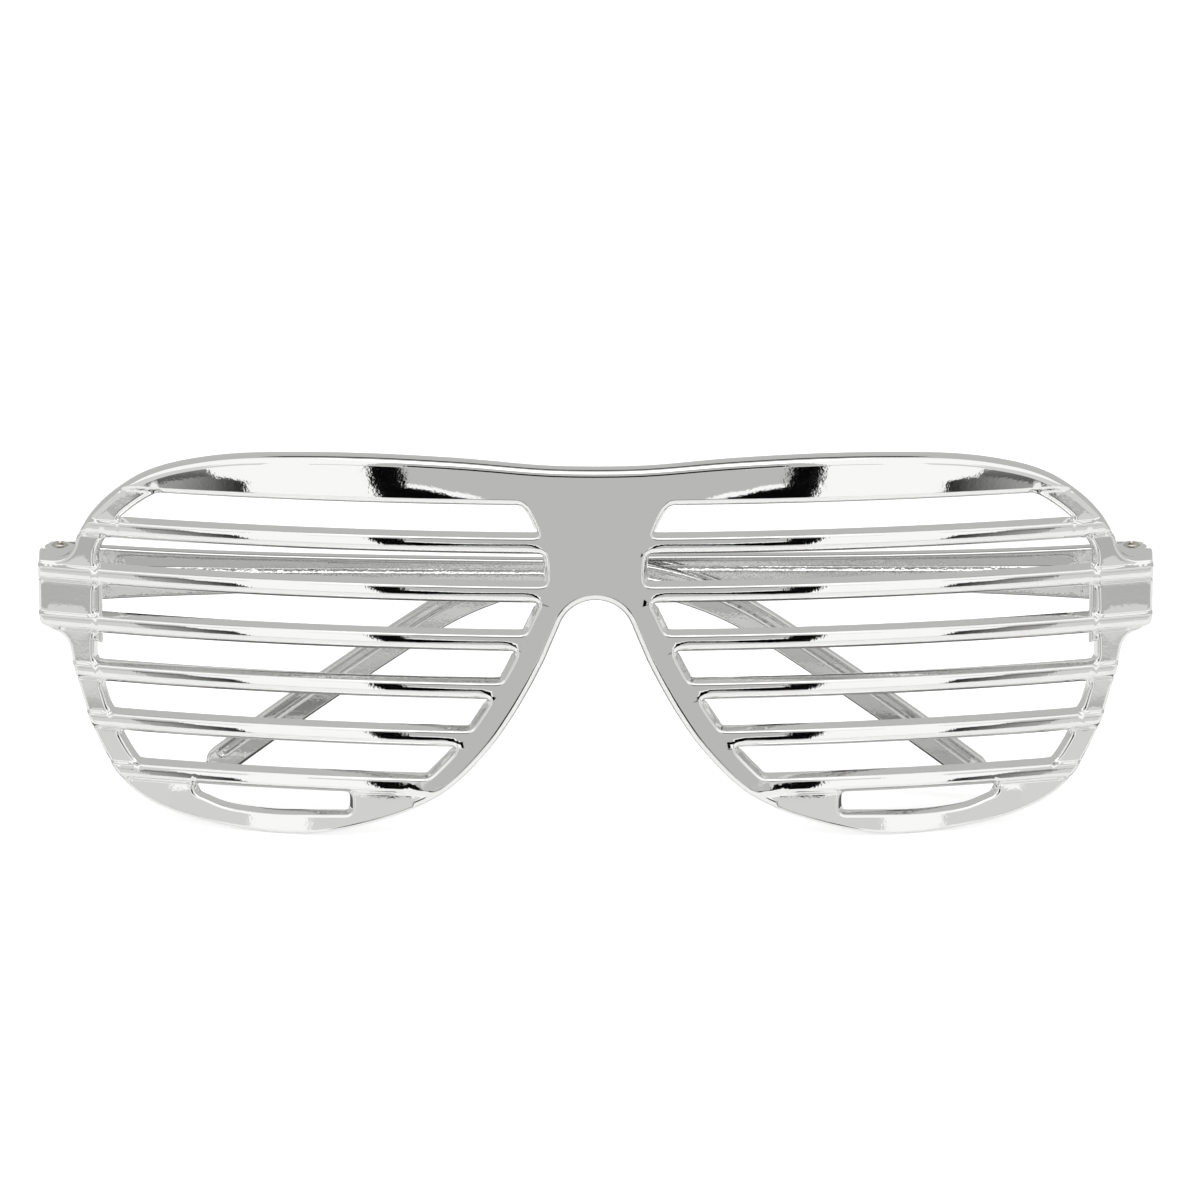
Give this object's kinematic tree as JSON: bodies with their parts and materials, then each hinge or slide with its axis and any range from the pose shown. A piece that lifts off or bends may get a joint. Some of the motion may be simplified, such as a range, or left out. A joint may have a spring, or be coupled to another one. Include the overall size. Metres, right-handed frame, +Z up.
{
  "type": "slatted party glasses",
  "caption": "Folded party glasses with a wrapped, slatted front in bright chrome, a round nose arch and two hooked temples on barrel hinges.",
  "frame": {"origin": "centre of the nose arch, halfway through the front", "axes": "+X to the wearer's left along the width, +Y from the face towards the wearer, +Z up; the temples are folded at rest"},
  "size_m": [0.1508, 0.0326, 0.0512],
  "materials": {
    "front_frame": "bright chrome plating on moulded plastic",
    "right_temple": "bright chrome plating on moulded plastic",
    "left_temple": "bright chrome plating on moulded plastic",
    "hinge_screw": "bright steel"
  },
  "bodies": {
    "front": {"front_frame": "front_frame", "right_hinge_screw": "hinge_screw", "left_hinge_screw": "hinge_screw"},
    "temple_right": {"right_temple": "right_temple"},
    "temple_left": {"left_temple": "left_temple"}
  },
  "joints": [
    {"name": "right_temple_hinge", "type": "hinge", "parent": "front", "child": "temple_right", "pos_m": [-0.0727, 0.0255, 0.0035], "axis": [0, 0, 1], "range_deg": [0, 93.2]},
    {"name": "left_temple_hinge", "type": "hinge", "parent": "front", "child": "temple_left", "pos_m": [0.0727, 0.0255, 0.0035], "axis": [0, 0, -1], "range_deg": [0, 90.8]}
  ]
}
